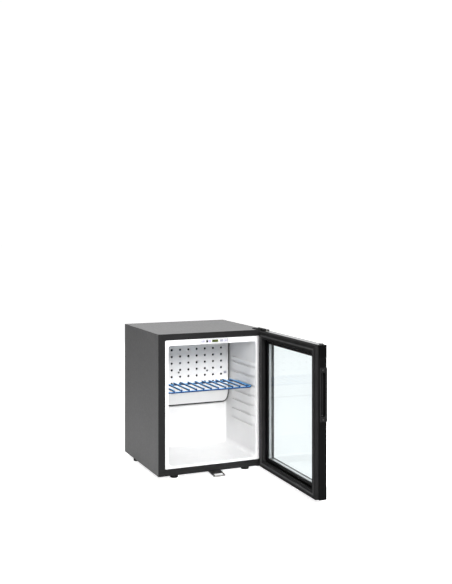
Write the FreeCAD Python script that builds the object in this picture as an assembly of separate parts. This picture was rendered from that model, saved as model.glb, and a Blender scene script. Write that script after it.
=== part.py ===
import FreeCAD, Part
import math
import os

# Absorption minibar with a glazed door, standing open.
# Millimetres. While building, X runs to the right, Y to the rear and Z up;
# Y = 0 is the cabinet's front face, Z = 0 the floor, X = 0 the cabinet's middle.

V = FreeCAD.Vector

# ---------------------------------------------------------------- dimensions
WIDTH = 402.0            # cabinet width
BODY_H = 476.0           # cabinet height without feet
DEPTH = 362.0            # cabinet depth without the door
FOOT_H = 14.0            # height of the feet
SHEET = 1.0              # steel sheet of sides, top and rear
PAN_T = 1.2              # base pan sheet

FRAME_T = 3.0            # front frame thickness
BAND_SIDE = 24.4         # dark band left and right of the opening
BAND_TOP = 21.0
BAND_BOTTOM = 22.9

WALL_X = 163.5           # half width of the compartment between its side walls
LEDGE_X = 159.4          # half width between the shelf ledges
FLOOR_Z = 45.0           # compartment floor
CEIL_Z = 449.0           # compartment ceiling
BACK_Y = 250.0           # compartment rear wall
LINER_T = 1.5            # liner wall
LINER_R = 16.0           # rounding between the liner's walls and its floor
TOP_R = 7.0              # rounding between its walls and its ceiling
MOUTH_R = 2.4            # rounding of the opening's edge
FLARE = 7.0              # rounding from the front flange into the walls
SLOT_Z0 = 148.0          # lowest shelf slot
SLOT_PITCH = 34.0
SLOT_COUNT = 7
SLOT_H = 9.0
LEDGE_RUN = 26.0         # the ledges fade into the wall at the front over this length
LEDGE_Y0, LEDGE_Y1 = 12.0, 190.0

SHELF_X = 161.6          # half width of the wire shelf
SHELF_Y0, SHELF_Y1 = 20.0, 162.0
SHELF_SLOT = 4           # shelf slot in use, counted from the lowest
FRAME_WIRE = 6.0         # diameter of the shelf's frame wire
CROSS_WIRE = 6.4         # diameter of the shelf's cross wires
WIRE_PITCH = 27.4
WIRE_COUNT = 11
SHELF_R = 16.0

COVER_Y = 215.0          # front of the evaporator cover
COVER_X = 157.0
COVER_Z0, COVER_Z1 = 200.0, 445.0
COVER_T = 1.5
COVER_R = 14.0           # its rounded corners
CHIN_Z, CHIN_BACK = 242.0, 22.0   # the cover's lower front leans back below this height, by this much
SEAL_Y0, SEAL_Y1 = 221.0, 243.0   # dark edge seal round the cover
HOLE_D = 8.4
HOLE_PITCH_X, HOLE_PITCH_Z = 32.8, 24.4
HOLE_COLS, HOLE_ROWS = 9, 6
HOLE_MID_X = -4.4
HOLE_Z0 = 281.0

FASCIA_X0, FASCIA_X1 = -47.0, 57.0
FASCIA_Z0, FASCIA_Z1 = 451.7, 466.2

DOOR_T = 26.0            # door frame thickness
DOOR_GAP = 14.0          # from the cabinet front to the door frame
DOOR_Z0, DOOR_Z1 = 15.2, 488.4
RAIL = 40.0              # width of the door's rails and of the stile on the handle side
HINGE_RAIL = 46.0        # width of the stile on the hinge side
RIM_GROOVE = 27.2        # groove between gasket and glazing rim, in from the door's edge
REBATE = 8.2             # depth of the glazing groove
GLASS_T = 4.0
GASKET_IN = 1.0          # gasket edge in from the door's edge
GASKET_W = 16.0          # its magnetic strip
BELLOWS_W = 9.6          # its soft fold, on the inner side
GASKET_GAP = 0.8         # gap left between closed gasket and cabinet
PIVOT_X, PIVOT_Y = 191.0, -27.0
PIN_R = 3.5
BUSH_BORE_R = 3.57
BUSH_R = 6.0
DOOR_OPEN = 88.0         # degrees, as it stands

HANDLE_Z0, HANDLE_Z1 = 254.0, 418.0
GRIP_Z0, GRIP_Z1 = 267.0, 405.0

LOCK_X, LOCK_Z = 0.0, 37.0
PLUG_R = 5.92
BARREL_BORE_R = 6.0
CAM_LEN = 32.0

# the row's origin: bottom middle of everything as it stands
SHIFT_X, SHIFT_Y = -1.67, 29.036

HX = WIDTH / 2.0
ZB = FOOT_H
ZT = FOOT_H + BODY_H
OPEN_X = HX - BAND_SIDE
OPEN_Z0 = ZB + BAND_BOTTOM
OPEN_Z1 = ZT - BAND_TOP

N = {}                   # every node by name


# ------------------------------------------------------------------- helpers
def box(x0, x1, y0, y1, z0, z1):
    return Part.makeBox(x1 - x0, y1 - y0, z1 - z0, V(x0, y0, z0))


def cyl(r, p, d, h):
    return Part.makeCylinder(r, h, V(*p), V(*d))


def cut(shape, *tools):
    for t in tools:
        shape = shape.cut(t)
    return shape


def fuse(*shapes):
    out = shapes[0]
    if len(shapes) > 1:
        out = out.multiFuse(list(shapes[1:]))
    return out.removeSplitter()


def edges_along(shape, axis, test=None):
    """Straight edges along an axis, optionally only those whose midpoint passes a test."""
    out = []
    for e in shape.Edges:
        if not isinstance(e.Curve, Part.Line):
            continue
        d = e.Vertexes[1].Point - e.Vertexes[0].Point
        d.normalize()
        if abs(abs(d.dot(V(*axis))) - 1.0) > 1e-6:
            continue
        m = e.CenterOfMass
        if test is None or test(m):
            out.append(e)
    return out


def rbox(x0, x1, y0, y1, z0, z1, r, axis):
    """Box with its four edges along one axis rounded."""
    b = box(x0, x1, y0, y1, z0, z1)
    return b.makeFillet(r, edges_along(b, axis))


def ring(xo, z0, z1, w, y0, y1, r=0.0):
    """Rectangular frame around Y, outer half width xo, bar width w."""
    o = box(-xo, xo, y0, y1, z0, z1)
    i = box(-xo + w, xo - w, y0 - 1, y1 + 1, z0 + w, z1 - w)
    if r:
        o = o.makeFillet(r, edges_along(o, (0, 1, 0)))
    return o.cut(i)


def tube(points, r, bend):
    """Round tube along a polyline with its corners bent."""
    pts = [V(*p) for p in points]
    edges, start = [], pts[0]
    for i in range(1, len(pts) - 1):
        a = (pts[i - 1] - pts[i]).normalize()
        b = (pts[i + 1] - pts[i]).normalize()
        ang = a.getAngle(b)
        t = bend / math.tan(ang / 2.0)
        p0, p1 = pts[i] + a * t, pts[i] + b * t
        bis = (a + b).normalize()
        c = pts[i] + bis * (bend / math.sin(ang / 2.0))
        mid = c - bis * bend
        if (p0 - start).Length > 1e-6:
            edges.append(Part.makeLine(start, p0))
        edges.append(Part.Arc(p0, mid, p1).toShape())
        start = p1
    edges.append(Part.makeLine(start, pts[-1]))
    path = Part.Wire(edges)
    d = (pts[1] - pts[0]).normalize()
    prof = Part.Wire([Part.makeCircle(r, pts[0], d)])
    return path.makePipeShell([prof], True, True)


def screw(p, d, head_r, head_h, shank_r, shank_l, slot=0.9):
    """Screw with a domed, slotted head; p lies under the head, d points out of the head."""
    dv = V(*d)
    pv = V(*p)
    head = Part.makeCylinder(head_r, head_h, pv, dv)
    rims = [e for e in head.Edges
            if isinstance(e.Curve, Part.Circle) and (e.CenterOfMass - pv).dot(dv) > head_h * 0.5]
    head = head.makeFillet(head_h * 0.55, rims)
    shank = Part.makeCylinder(shank_r, shank_l, pv - dv * shank_l, dv)
    if abs(dv.z) > 0.5:
        s1 = Part.makeBox(head_r * 1.3, slot, head_h, V(-head_r * 0.65, -slot / 2, 0))
        s2 = Part.makeBox(slot, head_r * 1.3, head_h, V(-slot / 2, -head_r * 0.65, 0))
        off = dv * (head_h * 0.5) if dv.z > 0 else dv * (head_h * 1.5)
    elif abs(dv.y) > 0.5:
        s1 = Part.makeBox(head_r * 1.3, head_h, slot, V(-head_r * 0.65, 0, -slot / 2))
        s2 = Part.makeBox(slot, head_h, head_r * 1.3, V(-slot / 2, 0, -head_r * 0.65))
        off = dv * (head_h * 0.5) if dv.y > 0 else dv * (head_h * 1.5)
    else:
        s1 = Part.makeBox(head_h, head_r * 1.3, slot, V(0, -head_r * 0.65, -slot / 2))
        s2 = Part.makeBox(head_h, slot, head_r * 1.3, V(0, -slot / 2, -head_r * 0.65))
        off = dv * (head_h * 0.5) if dv.x > 0 else dv * (head_h * 1.5)
    s1.translate(pv + off)
    s2.translate(pv + off)
    return head.fuse(shank).cut(s1).cut(s2).removeSplitter()


def clear_shank(names, p, d, r, length):
    """Hole for a screw's shank in the nodes it passes."""
    dv, pv = V(*d), V(*p)
    t = Part.makeCylinder(r, length + 0.4, pv - dv * (length + 0.2), dv)
    for n in names:
        N[n] = N[n].cut(t)


# ------------------------------------------------------------------- cabinet
N["side_panel_left"] = box(-HX, -HX + SHEET, FRAME_T, DEPTH, ZB, ZT)
N["side_panel_right"] = box(HX - SHEET, HX, FRAME_T, DEPTH, ZB, ZT)
N["top_panel"] = box(-HX + SHEET, HX - SHEET, FRAME_T, DEPTH, ZT - SHEET, ZT)
N["base_pan"] = box(-HX + SHEET, HX - SHEET, FRAME_T, DEPTH, ZB, ZB + PAN_T)
REAR_Y = 294.0
N["rear_panel"] = box(-HX + SHEET, HX - SHEET, REAR_Y, REAR_Y + SHEET, ZB + PAN_T, ZT - SHEET)

frame = box(-HX, HX, 0, FRAME_T, ZB, ZT)
opening = rbox(-OPEN_X, OPEN_X, -1, FRAME_T + 1, OPEN_Z0, OPEN_Z1, 4.0, (0, 1, 0))
N["front_frame"] = frame.cut(opening)

# liner: a thin-walled tub with rounded corners, a front flange and shelf ledges
FL_Y0, FL_Y1 = FRAME_T, FRAME_T + LINER_T


def tub_block(x, y0, y1, z0, z1, r_floor, r_top):
    """Block with differently rounded corners along its floor and its ceiling."""
    b = box(-x, x, y0, y1, z0, z1)
    b = b.makeFillet(r_floor, edges_along(b, (0, 1, 0), lambda m: abs(m.z - z0) < 1e-6))
    return b.makeFillet(r_top, edges_along(b, (0, 1, 0), lambda m: abs(m.z - z1) < 1e-6 and abs(abs(m.x) - x) < 1e-6))


hollow = tub_block(WALL_X, FL_Y0 - 1, BACK_Y, FLOOR_Z, CEIL_Z, LINER_R, TOP_R)
back_edges = [e for e in hollow.Edges
              if abs(e.BoundBox.YMin - BACK_Y) < 1e-6 and abs(e.BoundBox.YMax - BACK_Y) < 1e-6]
hollow = hollow.makeFillet(6.0, back_edges)
tub = tub_block(WALL_X + LINER_T, FL_Y0, BACK_Y + LINER_T, FLOOR_Z - LINER_T, CEIL_Z + LINER_T,
                LINER_R + LINER_T, TOP_R + LINER_T)
back_edges = [e for e in tub.Edges
              if abs(e.BoundBox.YMin - BACK_Y - LINER_T) < 1e-6 and abs(e.BoundBox.YMax - BACK_Y - LINER_T) < 1e-6]
tub = tub.makeFillet(7.5, back_edges)
FLANGE_X = OPEN_X + 7.0
flange = box(-FLANGE_X, FLANGE_X, FL_Y0, FL_Y1, OPEN_Z0 - 6.0, OPEN_Z1 + 6.0)
collar = box(-WALL_X - FLARE - 1, WALL_X + FLARE + 1, FL_Y0, FL_Y0 + FLARE + 1,
             FLOOR_Z - 6.0, CEIL_Z + 2.4)
liner = tub.fuse(flange).fuse(collar).removeSplitter().cut(hollow)
mouth = [e for e in liner.Edges
         if abs(e.BoundBox.YMin - FL_Y0) < 1e-6 and abs(e.BoundBox.YMax - FL_Y0) < 1e-6
         and e.BoundBox.XMin > -WALL_X - 0.1 and e.BoundBox.XMax < WALL_X + 0.1
         and e.BoundBox.ZMin > FLOOR_Z - 0.1 and e.BoundBox.ZMax < CEIL_Z + 0.1]
liner = liner.makeFillet(MOUTH_R, mouth)
ledge_z0 = SLOT_Z0 - 11.0
ledge_z1 = SLOT_Z0 + (SLOT_COUNT - 1) * SLOT_PITCH + SLOT_H + 12.0
ledges = []
for side in (-1, 1):
    xa, xb = sorted((side * LEDGE_X, side * WALL_X))
    plan = [(side * WALL_X, LEDGE_Y0), (side * (WALL_X - 0.8), LEDGE_Y0), (side * LEDGE_X, LEDGE_Y0 + LEDGE_RUN),
            (side * LEDGE_X, LEDGE_Y1), (side * WALL_X, LEDGE_Y1)]
    ledge = Part.Face(Part.makePolygon([V(x, y, ledge_z0) for x, y in plan + plan[:1]])).extrude(V(0, 0, ledge_z1 - ledge_z0))
    outer = edges_along(ledge, (0, 0, 1), lambda m: abs(abs(m.x) - LEDGE_X) < 1e-6)
    ledge = ledge.makeFillet(2.4, outer)
    for i in range(SLOT_COUNT):
        z = SLOT_Z0 + i * SLOT_PITCH
        xs, xe = sorted((side * (LEDGE_X - 1), side * (WALL_X + 1)))
        ledge = ledge.cut(box(xs, xe, LEDGE_Y0 - 1, LEDGE_Y1 + 1, z, z + SLOT_H))
    ledges += ledge.Solids
N["shelf_ledges"] = Part.makeCompound(ledges)
liner = liner.cut(rbox(FASCIA_X0 - 0.2, FASCIA_X1 + 0.2, FL_Y0 - 1, FL_Y0 + 12, FASCIA_Z0 - 0.2, FASCIA_Z1 + 0.2, 3.0, (0, 1, 0)))
LENS = (-36.0, 36.0, 20.0, 42.0)
liner = liner.cut(box(LENS[0] - 0.2, LENS[1] + 0.2, LENS[2] - 0.2, LENS[3] + 0.2, CEIL_Z - 1, CEIL_Z + LINER_T + 1))

# pipes of the cooling unit that pass through the rear wall
PIPE_X, PIPE_Z_HI, PIPE_Z_LO, PIPE_R = 118.0, 390.0, 300.0, 7.0
UNIT_Y = 328.0
pipe_ways = [cyl(PIPE_R + 0.2, (PIPE_X, 236, z), (0, 1, 0), 80) for z in (PIPE_Z_HI, PIPE_Z_LO)]
liner = cut(liner, *pipe_ways)
N["inner_liner"] = liner
N["rear_panel"] = cut(N["rear_panel"], *pipe_ways)

# control box set into the top wall behind the flange
CB = (-58.0, 68.0, FL_Y1 + FLARE + 0.4, 46.0, CEIL_Z + LINER_T, OPEN_Z1 - 0.5)
cbox = box(*CB)
cbox = cbox.cut(box(CB[0] + 1.5, CB[1] - 1.5, CB[2] - 1, CB[3] - 1.5, CB[4] + 1.5, CB[5] - 1.5))
cbox = cbox.cut(box(LENS[0] - 0.2, LENS[1] + 0.2, LENS[2] - 0.2, LENS[3] + 0.2, CB[4] - 1, CB[4] + 2))
N["control_box"] = cbox

foam = box(-HX + SHEET, HX - SHEET, FL_Y1, REAR_Y, ZB + PAN_T, ZT - SHEET)
foam = foam.cut(box(-FLANGE_X, FLANGE_X, FL_Y0 - 1, FL_Y1, OPEN_Z0 - 6.0, OPEN_Z1 + 6.0))
foam = foam.cut(tub).cut(collar).cut(box(*CB))
foam = foam.cut(box(FASCIA_X0 - 0.2, FASCIA_X1 + 0.2, FL_Y0, CB[2] + 0.1, FASCIA_Z0 - 0.2, FASCIA_Z1 + 0.2))
foam = cut(foam, *pipe_ways)
N["insulation_foam"] = foam

# fascia with display window and three keys
fy0, fy1 = FL_Y0 - 0.3, FL_Y0 + 2.2
fascia = rbox(FASCIA_X0, FASCIA_X1, fy0, fy1, FASCIA_Z0, FASCIA_Z1, 3.0, (0, 1, 0))
DISP = (-4.5, 19.5, 454.2, 463.8)
KEYS = {"button_power": (-43.0, -29.0, 454.6, 463.4),
        "button_minus": (25.0, 38.0, 454.6, 463.4),
        "button_plus": (40.5, 53.5, 454.6, 463.4)}
fascia = fascia.cut(box(DISP[0], DISP[1], fy0 - 1, fy1 + 1, DISP[2], DISP[3]))
for x0, x1, z0, z1 in KEYS.values():
    fascia = fascia.cut(rbox(x0, x1, fy0 - 1, fy1 + 1, z0, z1, 2.5, (0, 1, 0)))
LEDS = [(-12.0, 461.4), (-12.0, 456.6)]
EYE = (-22.5, 459.0)
for x, z in LEDS:
    fascia = fascia.cut(cyl(1.25, (x, fy0 - 1, z), (0, 1, 0), 6))
fascia = fascia.cut(box(EYE[0] - 2.2, EYE[0] + 2.2, fy0 - 1, fy1 + 1, EYE[1] - 2.2, EYE[1] + 2.2))
N["control_fascia"] = fascia
N["display_window"] = box(DISP[0], DISP[1], fy0 + 0.2, fy0 + 1.4, DISP[2], DISP[3])
N["display_module"] = box(DISP[0] + 0.5, DISP[1] - 0.5, fy0 + 1.6, 9.0, DISP[2] + 0.5, DISP[3] - 0.5)
N["indicator_lights"] = Part.makeCompound([cyl(1.2, (x, fy0 - 0.1, z), (0, 1, 0), 6.0) for x, z in LEDS])
N["sensor_eye"] = box(EYE[0] - 2.1, EYE[0] + 2.1, fy0 + 0.1, 8.5, EYE[1] - 2.1, EYE[1] + 2.1)
for name, (x0, x1, z0, z1) in KEYS.items():
    cap = rbox(x0 + 0.35, x1 - 0.35, fy0 - 0.6, fy1 + 0.4, z0 + 0.35, z1 - 0.35, 2.2, (0, 1, 0))
    lip = rbox(x0 - 0.8, x1 + 0.8, fy1 + 0.35, fy1 + 1.3, z0 - 0.8, z1 + 0.8, 2.5, (0, 1, 0))
    N[name] = fuse(cap, lip)
N["control_board"] = box(FASCIA_X0 + 2, FASCIA_X1 - 2, 9.0, 10.6, FASCIA_Z0 + 0.6, FASCIA_Z1 - 0.6)
N["light_lens"] = fuse(box(LENS[0] - 0.0, LENS[1] + 0.0, LENS[2], LENS[3], CEIL_Z - 0.6, CEIL_Z + LINER_T + 1.5),
                       box(LENS[0] - 2.0, LENS[1] + 2.0, LENS[2] - 2.0, LENS[3] + 2.0, CEIL_Z - 2.0, CEIL_Z - 0.1))

# evaporator behind its perforated cover
cover = box(-COVER_X, COVER_X, COVER_Y, BACK_Y - 4.0, COVER_Z0, COVER_Z1)
cover = cover.makeFillet(COVER_R, edges_along(cover, (0, 1, 0)))
front_edges = [e for e in cover.Edges
               if abs(e.BoundBox.YMin - COVER_Y) < 1e-6 and abs(e.BoundBox.YMax - COVER_Y) < 1e-6]
cover = cover.makeFillet(4.0, front_edges)


def chin(y, z, r):
    """Everything behind the leaning lower front of the cover."""
    lean = CHIN_BACK / (CHIN_Z - COVER_Z0)
    pts = [(y, 600.0), (400.0, 600.0), (400.0, 100.0), (y + (z - 100.0) * lean, 100.0), (y, z)]
    b = Part.Face(Part.makePolygon([V(-300, q, h) for q, h in pts + pts[:1]])).extrude(V(600, 0, 0))
    ridge = edges_along(b, (1, 0, 0), lambda m: abs(m.y - y) < 1e-6 and abs(m.z - z) < 1e-6)
    return b.makeFillet(r, ridge)


cover = cover.common(chin(COVER_Y, CHIN_Z, 22.0))
inner = box(-COVER_X + COVER_T, COVER_X - COVER_T, COVER_Y + COVER_T, BACK_Y, COVER_Z0 + COVER_T, COVER_Z1 - COVER_T)
inner = inner.makeFillet(COVER_R - COVER_T, edges_along(inner, (0, 1, 0)))
front_edges = [e for e in inner.Edges
               if abs(e.BoundBox.YMin - COVER_Y - COVER_T) < 1e-6 and abs(e.BoundBox.YMax - COVER_Y - COVER_T) < 1e-6]
inner = inner.makeFillet(2.5, front_edges)
inner = inner.common(chin(COVER_Y + COVER_T, CHIN_Z + 0.4, 20.5))
cover = cover.cut(inner)
holes = []
for i in range(HOLE_COLS):
    for j in range(HOLE_ROWS):
        x = HOLE_MID_X + (i - (HOLE_COLS - 1) / 2.0) * HOLE_PITCH_X
        z = HOLE_Z0 + j * HOLE_PITCH_Z
        holes.append(cyl(HOLE_D / 2.0, (x, COVER_Y - 1, z), (0, 1, 0), COVER_T + 2))
cover = cover.cut(Part.makeCompound(holes))
CLIP = (143.0, 311.0)
cover = cover.cut(box(CLIP[0] - 4.0, CLIP[0] + 4.0, COVER_Y - 1, COVER_Y + 3, CLIP[1] - 3.0, CLIP[1] + 3.0))
N["evaporator_cover"] = cover
seal = rbox(-COVER_X - 4.2, COVER_X + 4.2, SEAL_Y0, SEAL_Y1, COVER_Z0 - 5.4, COVER_Z1 + 2.6, COVER_R + 3.0, (0, 1, 0))
seal = seal.cut(rbox(-COVER_X, COVER_X, SEAL_Y0 - 1, SEAL_Y1 + 1, COVER_Z0, COVER_Z1, COVER_R, (0, 1, 0)))
N["cover_seal"] = seal.common(chin(COVER_Y + 1.0, CHIN_Z, 22.0))

EV_Z0, EV_Z1 = 250.0, 425.0
evap = [box(-132, 132, 242.0, 246.0, EV_Z0, EV_Z1)]
FINS = 17
for i in range(FINS):
    x = -128.0 + i * 16.0
    evap.append(box(x - 0.8, x + 0.8, 221.0, 242.2, EV_Z0 + 4, EV_Z1 - 4))
evap = fuse(*evap)
COVER_SCREWS = [(-43.0, 321.0), (70.0, 321.0)]
posts = [cyl(3.6, (x, COVER_Y + COVER_T, z), (0, 1, 0), 242.2 - COVER_Y - COVER_T) for x, z in COVER_SCREWS]
evap = fuse(evap, *posts)
N["evaporator"] = evap
clip = fuse(box(CLIP[0] - 3.9, CLIP[0] + 3.9, COVER_Y - 1.6, COVER_Y + 2.6, CLIP[1] - 2.9, CLIP[1] + 2.9),
            box(CLIP[0] - 5.2, CLIP[0] + 5.2, COVER_Y - 1.6, COVER_Y - 0.05, CLIP[1] - 4.2, CLIP[1] + 4.2))
N["sensor_clip"] = clip
scr = []
for x, z in COVER_SCREWS:
    p, d = (x, COVER_Y, z), (0, -1, 0)
    scr.append(screw(p, d, 3.6, 1.8, 1.6, 14.0))
    clear_shank(("evaporator_cover", "evaporator"), p, d, 1.6, 14.0)
N["cover_screws"] = Part.makeCompound(scr)

# wire shelf
slot_z = SLOT_Z0 + SHELF_SLOT * SLOT_PITCH
rz = slot_z + FRAME_WIRE / 2.0 + 0.4
rf = FRAME_WIRE / 2.0
xs = SHELF_X - rf
ya, yb = SHELF_Y0 + rf, SHELF_Y1 - rf
loop_edges = []
seq = [((xs, ya + SHELF_R), (xs, yb - SHELF_R), (xs - SHELF_R, yb - SHELF_R), (xs - SHELF_R, yb)),
       ((xs - SHELF_R, yb), (-xs + SHELF_R, yb), (-xs + SHELF_R, yb - SHELF_R), (-xs, yb - SHELF_R)),
       ((-xs, yb - SHELF_R), (-xs, ya + SHELF_R), (-xs + SHELF_R, ya + SHELF_R), (-xs + SHELF_R, ya)),
       ((-xs + SHELF_R, ya), (xs - SHELF_R, ya), (xs - SHELF_R, ya + SHELF_R), (xs, ya + SHELF_R))]
for a, b, c, e in seq:
    a3, b3, e3, c3 = V(a[0], a[1], rz), V(b[0], b[1], rz), V(e[0], e[1], rz), V(c[0], c[1], rz)
    loop_edges.append(Part.makeLine(a3, b3))
    m = ((b3 - c3) + (e3 - c3)).normalize() * SHELF_R + c3
    loop_edges.append(Part.Arc(b3, m, e3).toShape())
path = Part.Wire(loop_edges)
prof = Part.Wire([Part.makeCircle(rf, V(xs, ya + SHELF_R, rz), V(0, 1, 0))])
loop = path.makePipeShell([prof], True, True)
rc = CROSS_WIRE / 2.0
wires = [loop]
wz = rz + rf + rc - 0.5
for i in range(WIRE_COUNT):
    x = (i - (WIRE_COUNT - 1) / 2.0) * WIRE_PITCH
    wires.append(cyl(rc, (x, SHELF_Y0 + 0.4, wz), (0, 1, 0), SHELF_Y1 - SHELF_Y0 - 0.8))
N["wire_shelf"] = fuse(*wires)

# feet
FEET = {"foot_front_left": (-134.0, 30.0, 15.0), "foot_front_right": (134.0, 30.0, 15.0),
        "foot_rear_left": (-183.0, 274.0, 13.5), "foot_rear_right": (183.0, 274.0, 13.5)}
scr = []
for name, (x, y, r) in FEET.items():
    f = Part.makeCone(r - 1.5, r, FOOT_H, V(x, y, 0), V(0, 0, 1))
    f = f.cut(cyl(4.6, (x, y, -1), (0, 0, 1), 7.0))
    N[name] = f
    p, d = (x, y, 6.0), (0, 0, -1)
    scr.append(screw(p, d, 4.2, 2.4, 2.0, 16.0))
    clear_shank((name, "base_pan", "insulation_foam"), p, d, 2.0, 16.0)
N["foot_screws"] = Part.makeCompound(scr)

# lock strike under the front edge
SX0, SX1 = -18.0, 28.0
pts = [(26.0, ZB - 2.0), (4.2, ZB - 2.0), (-38.2, ZB - 6.6), (-39.6, ZB - 9.6), (-41.5, ZB - 8.8),
       (-39.6, ZB - 4.7), (4.0, ZB - 0.0), (26.0, ZB - 0.0)]
w = Part.makePolygon([V(SX0, y, z) for y, z in pts] + [V(SX0, pts[0][0], pts[0][1])])
strike = Part.Face(w).extrude(V(SX1 - SX0, 0, 0))
strike = strike.cut(rbox(LOCK_X - 10.0, LOCK_X + 22.0, -36.5, -21.0, -1, ZB + 4, 2.5, (0, 0, 1)))
N["lock_strike"] = strike
scr = []
for x in (-10.0, 20.0):
    p, d = (x, 15.0, ZB - 2.0), (0, 0, -1)
    scr.append(screw(p, d, 4.0, 2.0, 1.9, 12.0))
    clear_shank(("lock_strike", "base_pan", "insulation_foam"), p, d, 1.9, 12.0)


# hinges
def hinge_plate(z0, z1, tail):
    arm = box(PIVOT_X - 9.5, PIVOT_X + 9.5, PIVOT_Y, 8.0, z0, z1)
    tip = cyl(9.5, (PIVOT_X, PIVOT_Y, z0), (0, 0, 1), z1 - z0)
    foot = rbox(PIVOT_X - 24.0, PIVOT_X + 9.5, 4.0, tail, z0, z1, 4.0, (0, 0, 1))
    return fuse(arm, tip, foot)


TOP_HINGE_T = 2.5
top_z0, top_z1 = ZT, ZT + TOP_HINGE_T
bot_z0, bot_z1 = ZB - 2.7, ZB
N["top_hinge_bracket"] = hinge_plate(top_z0, top_z1, 42.0)
N["bottom_hinge_bracket"] = hinge_plate(bot_z0, bot_z1, 60.0)
N["hinge_pins"] = Part.makeCompound([
    cyl(PIN_R, (PIVOT_X, PIVOT_Y, top_z1), (0, 0, -1), TOP_HINGE_T + 12.5),
    cyl(PIN_R, (PIVOT_X, PIVOT_Y, bot_z0), (0, 0, 1), 2.7 + 12.5)])
for n in ("top_hinge_bracket", "bottom_hinge_bracket"):
    N[n] = N[n].cut(cyl(PIN_R, (PIVOT_X, PIVOT_Y, -5), (0, 0, 1), 520))
for x, y in ((174.0, 14.0), (190.0, 32.0)):
    p, d = (x, y, top_z1), (0, 0, 1)
    scr.append(screw(p, d, 4.0, 2.0, 1.9, 12.0))
    clear_shank(("top_hinge_bracket", "top_panel", "insulation_foam"), p, d, 1.9, 12.0)
for x, y in ((174.0, 20.0), (190.0, 46.0)):
    p, d = (x, y, bot_z0), (0, 0, -1)
    scr.append(screw(p, d, 4.0, 2.0, 1.9, 12.0))
    clear_shank(("bottom_hinge_bracket", "base_pan", "insulation_foam"), p, d, 1.9, 12.0)
N["bracket_screws"] = Part.makeCompound(scr)

# absorption cooling unit at the rear
BOILER_X, BOILER_R = -128.0, 29.0
can = cyl(BOILER_R, (BOILER_X, UNIT_Y, 46.0), (0, 0, 1), 270.0)
can = can.makeFillet(3.0, [e for e in can.Edges if isinstance(e.Curve, Part.Circle)])
can = can.cut(cyl(BOILER_R - 1.5, (BOILER_X, UNIT_Y, 49.5), (0, 0, 1), 263.0))
N["boiler_casing"] = can.cut(cyl(PIPE_R + 0.2, (BOILER_X, UNIT_Y, 300.0), (0, 0, 1), 30.0))
VESSEL_R, VESSEL_Z = 25.0, 58.0
vessel = cyl(VESSEL_R, (-62.0, UNIT_Y, VESSEL_Z), (1, 0, 0), 196.0)
vessel = vessel.makeFillet(9.0, [e for e in vessel.Edges if isinstance(e.Curve, Part.Circle)])
bore = cyl(VESSEL_R - 2.0, (-60.0, UNIT_Y, VESSEL_Z), (1, 0, 0), 192.0)
bore = bore.makeFillet(8.0, [e for e in bore.Edges if isinstance(e.Curve, Part.Circle)])
N["absorber_vessel"] = vessel.cut(bore)
coil = tube([(PIPE_X, 246.2, PIPE_Z_LO), (PIPE_X, UNIT_Y, PIPE_Z_LO), (PIPE_X, UNIT_Y, 242.0), (-50.0, UNIT_Y, 228.0),
             (-50.0, UNIT_Y, 188.0), (128.0, UNIT_Y, 174.0), (128.0, UNIT_Y, 138.0), (-40.0, UNIT_Y, 124.0),
             (-40.0, UNIT_Y, VESSEL_Z + VESSEL_R - 2.0)], PIPE_R, 16.0)
coil = coil.cut(vessel)
N["absorber_coil"] = coil
cond = tube([(BOILER_X, UNIT_Y, 60.0), (BOILER_X, UNIT_Y, 452.0), (PIPE_X, UNIT_Y, 438.0),
             (PIPE_X, UNIT_Y, PIPE_Z_HI), (PIPE_X, 246.2, PIPE_Z_HI)], PIPE_R, 18.0)
N["condenser_tube"] = cond
fins = []
slope = -14.0 / (PIPE_X - BOILER_X)
for i in range(16):
    x = -92.0 + i * 11.0
    zc = 452.0 + slope * (x - BOILER_X)
    fins.append(box(x - 0.4, x + 0.4, UNIT_Y - 26.0, UNIT_Y + 26.0, zc - 24.0, zc + 24.0).cut(cond))
N["condenser_fins"] = Part.makeCompound(fins)
bars = [box(-HX + SHEET, HX - SHEET, 357.0, 359.0, z, z + 24.0) for z in (96.0, 345.0)]
N["rear_crossbars"] = Part.makeCompound(bars)
tbox = rbox(-196.0, -164.0, REAR_Y + SHEET, 346.0, 34.0, 110.0, 3.0, (0, 1, 0))
N["terminal_box"] = tbox
gland = fuse(cyl(9.0, (-180.0, 346.0, 52.0), (0, 1, 0), 3.0), cyl(6.5, (-180.0, 349.0, 52.0), (0, 1, 0), 8.0))
gland = gland.cut(cyl(3.6, (-180.0, 344.0, 52.0), (0, 1, 0), 20.0))
N["cord_gland"] = gland

CABINET = list(N)

# ---------------------------------------------------------------------- door
# drawn closed in front of the cabinet, turned open at the end
DY1 = -DOOR_GAP
DY0 = -DOOR_GAP - DOOR_T
IN_L, IN_R = -HX + RAIL, HX - HINGE_RAIL
IN_Z0, IN_Z1 = DOOR_Z0 + RAIL, DOOR_Z1 - RAIL
groove = box(IN_L - REBATE, IN_R + REBATE, DY0 + 2.1, DY1 - 2.1, IN_Z0 - REBATE, IN_Z1 + REBATE)
rim_groove = ring(HX - RIM_GROOVE, DOOR_Z0 + RIM_GROOVE, DOOR_Z1 - RIM_GROOVE, 4.0, DY1 - 5.0, DY1 + 1.0)
SQ = 1.2


def soften(shape, axis, r):
    """Round the long outer edges of a rail."""
    es = edges_along(shape, axis)
    return shape.makeFillet(r, es) if es else shape


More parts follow.
